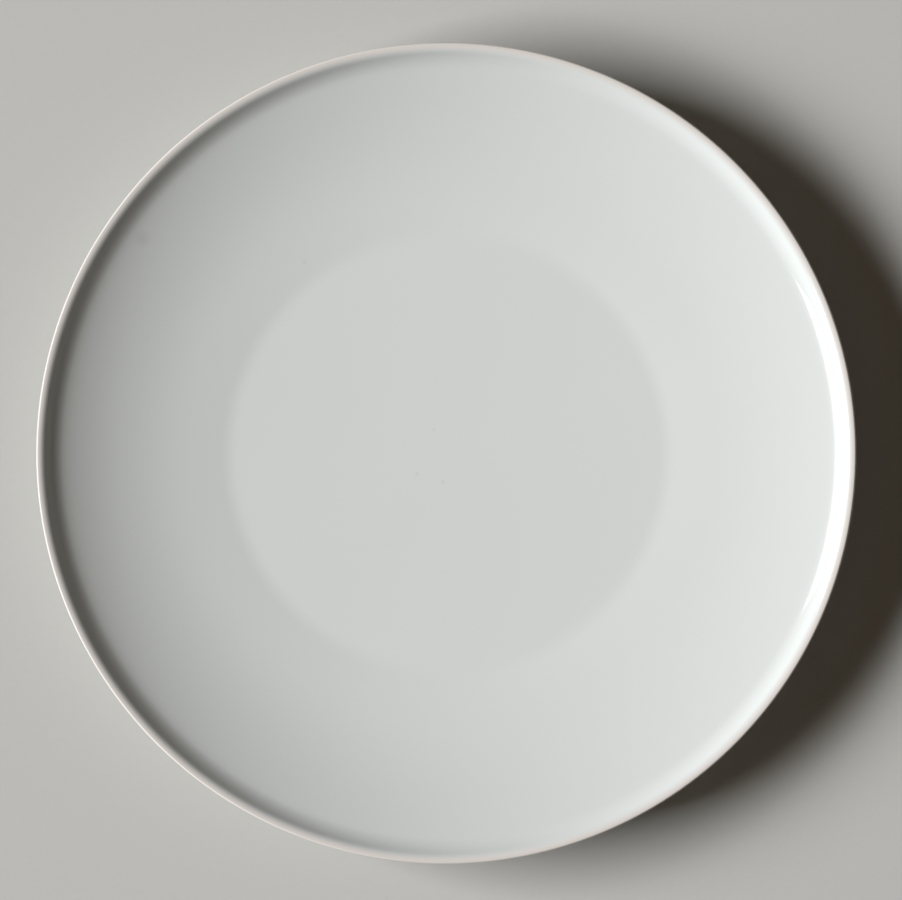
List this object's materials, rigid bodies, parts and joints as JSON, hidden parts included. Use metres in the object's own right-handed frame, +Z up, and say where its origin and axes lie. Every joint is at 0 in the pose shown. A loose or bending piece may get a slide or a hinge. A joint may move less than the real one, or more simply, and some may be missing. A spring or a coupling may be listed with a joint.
{
  "type": "coupe dinner plate",
  "caption": "Round coupe dinner plate in white glazed porcelain: barely dished well, flare that curves up ever steeper, small upturned lip, and a foot ring wiped bare of glaze on which it stands.",
  "frame": {"origin": "centre of the foot ring's standing face, on the table", "axes": "+Z up along the plate's axis, out of the well; X and Y are any two level directions, because the plate is round"},
  "size_m": [0.27, 0.27, 0.0225],
  "materials": {
    "bare_porcelain": "matte",
    "glaze": "gloss"
  },
  "bodies": {
    "root": {"porcelain_body": "bare_porcelain", "glaze_coat": "glaze", "base_glaze": "glaze"}
  },
  "joints": []
}
